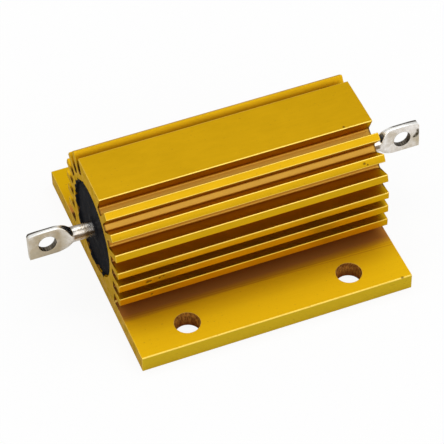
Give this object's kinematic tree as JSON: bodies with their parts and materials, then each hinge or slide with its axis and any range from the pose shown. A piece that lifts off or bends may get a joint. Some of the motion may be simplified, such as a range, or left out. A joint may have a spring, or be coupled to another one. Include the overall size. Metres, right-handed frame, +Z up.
{
  "type": "aluminium housed power resistor",
  "caption": "Wirewound power resistor in a finned gold anodised aluminium housing with a flat drilled mounting foot and a solder lug at each end.",
  "frame": {"origin": "centre of the underside of the mounting foot", "axes": "+X along the extrusion towards the right terminal, +Y across the foot away from the picture's viewer, +Z up"},
  "size_m": [0.0706, 0.046, 0.0232],
  "materials": {
    "gold_anodised_aluminium": "satin gold anodised, sawn ends",
    "black_moulding": "black moulding compound, half matt",
    "white_ceramic": "unglazed ceramic",
    "resistance_wire": "drawn copper-nickel wire",
    "cap_metal": "drawn nickel-iron",
    "tinned_terminal": "hot tinned, faintly mottled"
  },
  "bodies": {
    "root": {"housing": "gold_anodised_aluminium", "encapsulant": "black_moulding", "core": "white_ceramic", "winding": "resistance_wire", "end_cap_left": "cap_metal", "end_cap_right": "cap_metal", "terminal_left": "tinned_terminal", "terminal_right": "tinned_terminal"}
  },
  "joints": []
}
